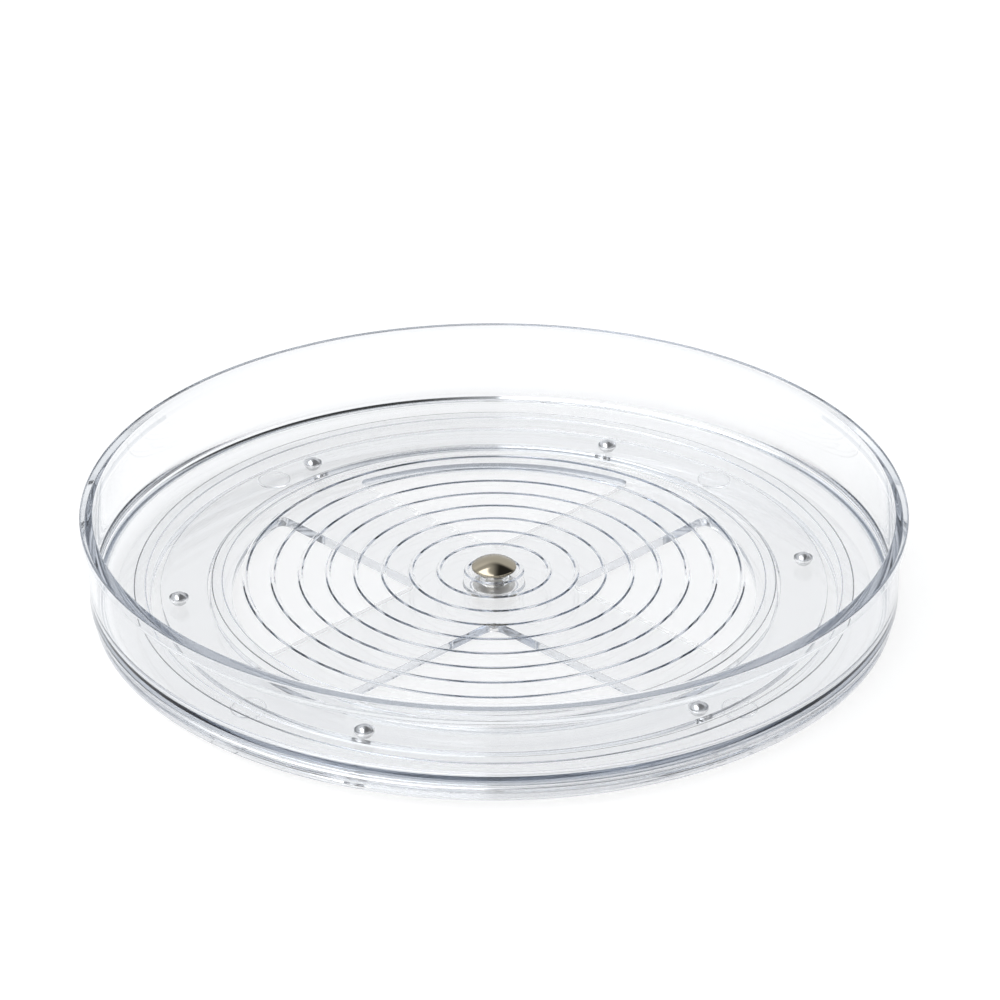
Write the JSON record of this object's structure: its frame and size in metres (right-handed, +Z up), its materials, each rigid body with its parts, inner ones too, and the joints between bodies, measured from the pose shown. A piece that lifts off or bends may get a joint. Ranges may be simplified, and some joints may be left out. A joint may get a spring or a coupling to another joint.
{
  "type": "lazy susan turntable",
  "caption": "Clear round tray with an upright rim and a ringed floor that spins on steel balls over a flat base with a metal centre cap.",
  "frame": {"origin": "on the table under the turning axis, at the underside of the feet", "axes": "+Z up along the turning axis; the openings of the base plate lie along X and Y, its arms and feet at 45 degrees between them"},
  "size_m": [0.292, 0.292, 0.04],
  "materials": {
    "clear_tray": "clear, polished, injection moulded",
    "clear_base": "clear, polished, injection moulded",
    "clear_cage": "clear, polished, injection moulded",
    "clear_bush": "natural, slightly milky",
    "ball_steel": "mirror polished",
    "cap_metal": "polished, warm nickel plated",
    "pin_steel": "plain turned steel",
    "foot_pad": "soft, translucent, non-slip"
  },
  "bodies": {
    "base": {"base_plate": "clear_base", "foot_1": "foot_pad", "foot_2": "foot_pad", "foot_3": "foot_pad", "foot_4": "foot_pad", "centre_pin": "pin_steel", "pin_cap": "cap_metal", "spacer": "clear_bush", "base_washer": "pin_steel", "push_nut": "pin_steel"},
    "tray": {"tray": "clear_tray", "hub_bushing": "clear_bush", "glide_washer": "clear_bush"},
    "cage": {"ball_cage": "clear_cage"},
    "ball_1": {"ball_1": "ball_steel"},
    "ball_2": {"ball_2": "ball_steel"},
    "ball_3": {"ball_3": "ball_steel"},
    "ball_4": {"ball_4": "ball_steel"},
    "ball_5": {"ball_5": "ball_steel"},
    "ball_6": {"ball_6": "ball_steel"}
  },
  "joints": [
    {"name": "tray_spin", "type": "hinge", "parent": "base", "child": "tray", "pos_m": [0, 0, 0.0114], "axis": [0, 0, 1], "continuous": true},
    {"name": "cage_spin", "type": "hinge", "parent": "base", "child": "cage", "pos_m": [0, 0, 0.0062], "axis": [0, 0, 1], "continuous": true},
    {"name": "ball_1_roll", "type": "hinge", "parent": "cage", "child": "ball_1", "pos_m": [0.11144, 0.01467, 0.00575], "axis": [0.9914, 0.1305, 0], "continuous": true},
    {"name": "ball_2_roll", "type": "hinge", "parent": "cage", "child": "ball_2", "pos_m": [0.04301, 0.10384, 0.00575], "axis": [0.3827, 0.9239, 0], "continuous": true},
    {"name": "ball_3_roll", "type": "hinge", "parent": "cage", "child": "ball_3", "pos_m": [-0.06842, 0.08917, 0.00575], "axis": [-0.6088, 0.7934, 0], "continuous": true},
    {"name": "ball_4_roll", "type": "hinge", "parent": "cage", "child": "ball_4", "pos_m": [-0.11144, -0.01467, 0.00575], "axis": [-0.9914, -0.1305, 0], "continuous": true},
    {"name": "ball_5_roll", "type": "hinge", "parent": "cage", "child": "ball_5", "pos_m": [-0.04301, -0.10384, 0.00575], "axis": [-0.3827, -0.9239, 0], "continuous": true},
    {"name": "ball_6_roll", "type": "hinge", "parent": "cage", "child": "ball_6", "pos_m": [0.06842, -0.08917, 0.00575], "axis": [0.6088, -0.7934, 0], "continuous": true}
  ],
  "couplings": [
    {"joint": "cage_spin", "follows": "tray_spin", "ratio": 0.5},
    {"joint": "ball_1_roll", "follows": "tray_spin", "ratio": -17.701},
    {"joint": "ball_2_roll", "follows": "tray_spin", "ratio": -17.701},
    {"joint": "ball_3_roll", "follows": "tray_spin", "ratio": -17.701},
    {"joint": "ball_4_roll", "follows": "tray_spin", "ratio": -17.701},
    {"joint": "ball_5_roll", "follows": "tray_spin", "ratio": -17.701},
    {"joint": "ball_6_roll", "follows": "tray_spin", "ratio": -17.701}
  ]
}
